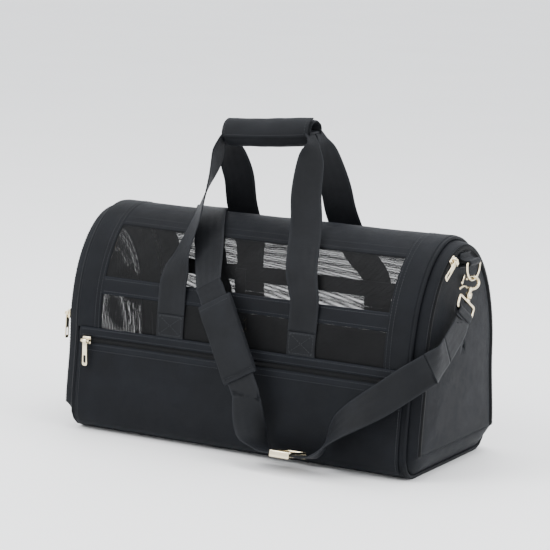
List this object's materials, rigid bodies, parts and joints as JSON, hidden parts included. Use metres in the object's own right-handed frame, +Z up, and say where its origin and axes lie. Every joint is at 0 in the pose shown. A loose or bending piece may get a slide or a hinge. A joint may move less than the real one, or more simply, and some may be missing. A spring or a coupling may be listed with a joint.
{
  "type": "pet carrier bag",
  "caption": "Soft-sided arched pet carrier bag with mesh windows, a zipped door at each end, a front zip pocket, joined carrying handles and a padded shoulder strap on snap hooks.",
  "frame": {"origin": "middle of the flat underside of the base", "axes": "+X along the bag towards its right-hand end, -Y towards the front pocket, +Z up"},
  "size_m": [0.5058, 0.2767, 0.3761],
  "materials": {
    "cloth": "matte",
    "mesh": "matte",
    "webbing": "satin",
    "zip_tape": "matte",
    "hardware": "polished",
    "spring_wire": "satin",
    "board": "matte",
    "mat_cloth": "matte",
    "pad_cloth": "matte"
  },
  "bodies": {
    "shell": {"base_panel": "cloth", "front_lower_panel": "cloth", "back_lower_panel": "cloth", "front_window_lower": "mesh", "front_window_upper": "mesh", "back_window_lower": "mesh", "back_window_upper": "mesh", "front_mid_strip": "webbing", "back_mid_strip": "webbing", "ridge_band": "cloth", "end_band_right": "cloth", "end_band_left": "cloth", "end_border_right": "cloth", "end_border_left": "cloth", "rim_piping": "cloth", "frame_wires": "spring_wire", "border_zips": "zip_tape", "base_board": "board", "tether_strap": "webbing", "pocket_panel": "cloth", "zip_welt": "webbing", "pocket_zip": "zip_tape", "handle_bases_front": "webbing", "handle_bases_back": "webbing", "handle_leg_front_right": "webbing", "handle_leg_front_left": "webbing", "handle_leg_back_right": "webbing", "handle_leg_back_left": "webbing", "shoulder_strap": "webbing", "strap_adjuster": "hardware"},
    "mat": {"floor_mat": "mat_cloth"},
    "tether_clip": {"tether_clip": "hardware"},
    "grip": {"handle_grip": "webbing", "grip_wrap": "cloth"},
    "flap": {"wrap_flap": "cloth"},
    "pad": {"strap_pad": "pad_cloth"},
    "pocket_slider": {"pocket_slider": "hardware"},
    "pocket_pull": {"pocket_pull": "hardware"},
    "right_door": {"door_right": "cloth", "door_zip_right": "zip_tape", "ring_tab_right": "webbing", "strap_end_right": "webbing"},
    "right_slider": {"slider_right": "hardware"},
    "right_pull": {"pull_right": "hardware"},
    "right_d_ring": {"d_ring_right": "hardware"},
    "right_hook": {"snap_hook_right": "hardware"},
    "right_bolt": {"hook_gate_right": "hardware"},
    "right_loop": {"swivel_loop_right": "hardware"},
    "left_door": {"door_left": "cloth", "door_zip_left": "zip_tape", "ring_tab_left": "webbing", "strap_end_left": "webbing", "door_mesh_left": "mesh"},
    "left_slider": {"slider_left": "hardware"},
    "left_pull": {"pull_left": "hardware"},
    "left_d_ring": {"d_ring_left": "hardware"},
    "left_hook": {"snap_hook_left": "hardware"},
    "left_bolt": {"hook_gate_left": "hardware"},
    "left_loop": {"swivel_loop_left": "hardware"}
  },
  "joints": [
    {"name": "right_door_open", "type": "hinge", "parent": "shell", "child": "right_door", "pos_m": [0.2326, 0, 0.03], "axis": [0, 1, 0], "range_deg": [0, 80]},
    {"name": "right_ring_swing", "type": "hinge", "parent": "right_door", "child": "right_d_ring", "pos_m": [0.2446, 0, 0.23402], "axis": [0, -1, 0], "range_deg": [0, 70]},
    {"name": "right_hook_swing", "type": "hinge", "parent": "right_d_ring", "child": "right_hook", "pos_m": [0.2446, 0, 0.21402], "axis": [0, -1, 0], "range_deg": [0, 60]},
    {"name": "right_bolt_slide", "type": "slide", "parent": "right_hook", "child": "right_bolt", "axis": [0, -0.5, -0.866], "range_m": [0, 0.01], "stiffness_N_per_m": 60},
    {"name": "right_loop_swivel", "type": "hinge", "parent": "right_hook", "child": "right_loop", "pos_m": [0.2446, 0, 0.21402], "axis": [0, 0.5, 0.866], "range_deg": [-25, 25]},
    {"name": "right_slider_run", "type": "hinge", "parent": "shell", "child": "right_slider", "pos_m": [0.232, 0.00728, 0.17655], "axis": [1, 0, 0], "range_deg": [-12, 12]},
    {"name": "right_pull_swing", "type": "hinge", "parent": "right_slider", "child": "right_pull", "pos_m": [0.2391, -0.03251, 0.23783], "axis": [0, -0.5446, 0.8387], "range_deg": [0, 150]},
    {"name": "left_door_open", "type": "hinge", "parent": "shell", "child": "left_door", "pos_m": [-0.2326, 0, 0.03], "axis": [0, -1, 0], "range_deg": [0, 80]},
    {"name": "left_ring_swing", "type": "hinge", "parent": "left_door", "child": "left_d_ring", "pos_m": [-0.2446, 0, 0.23402], "axis": [0, 1, 0], "range_deg": [0, 70]},
    {"name": "left_hook_swing", "type": "hinge", "parent": "left_d_ring", "child": "left_hook", "pos_m": [-0.2446, 0, 0.21402], "axis": [0, 1, 0], "range_deg": [0, 60]},
    {"name": "left_bolt_slide", "type": "slide", "parent": "left_hook", "child": "left_bolt", "axis": [0, 0.5, -0.866], "range_m": [0, 0.01], "stiffness_N_per_m": 60},
    {"name": "left_loop_swivel", "type": "hinge", "parent": "left_hook", "child": "left_loop", "pos_m": [-0.2446, 0, 0.21402], "axis": [0, -0.5, 0.866], "range_deg": [-25, 25]},
    {"name": "left_slider_run", "type": "slide", "parent": "shell", "child": "left_slider", "axis": [0, -0.0688, -0.9976], "range_m": [-0.016, 0.03]},
    {"name": "left_pull_swing", "type": "hinge", "parent": "left_slider", "child": "left_pull", "pos_m": [-0.2391, -0.08355, 0.13317], "axis": [0, 0.9976, -0.0688], "range_deg": [0, 150]},
    {"name": "pocket_slider_run", "type": "slide", "parent": "shell", "child": "pocket_slider", "axis": [1, 0, 0], "range_m": [0, 0.36]},
    {"name": "pocket_pull_swing", "type": "hinge", "parent": "pocket_slider", "child": "pocket_pull", "pos_m": [-0.2, -0.10496, 0.108], "axis": [-1, 0, 0], "range_deg": [0, 150]},
    {"name": "tether_clip_swing", "type": "hinge", "parent": "shell", "child": "tether_clip", "pos_m": [-0.1, 0.07937, 0.116], "axis": [-1, 0, 0], "range_deg": [-10, 70]},
    {"name": "mat_lift", "type": "slide", "parent": "shell", "child": "mat", "axis": [0, 0, 1], "range_m": [0, 0.06]},
    {"name": "handle_drop", "type": "slide", "parent": "shell", "child": "grip", "axis": [0, 0, -1], "range_m": [0, 0.07], "deforming": ["handle_leg_front_right", "handle_leg_front_left", "handle_leg_back_right", "handle_leg_back_left"]},
    {"name": "flap_open", "type": "hinge", "parent": "grip", "child": "flap", "pos_m": [0, -0.00285, 0.37415], "axis": [-1, 0, 0], "range_deg": [0, 85]},
    {"name": "pad_slide", "type": "slide", "parent": "shell", "child": "pad", "axis": [-0.4788, 0.1564, 0.8639], "range_m": [-0.01, 0.01]}
  ]
}
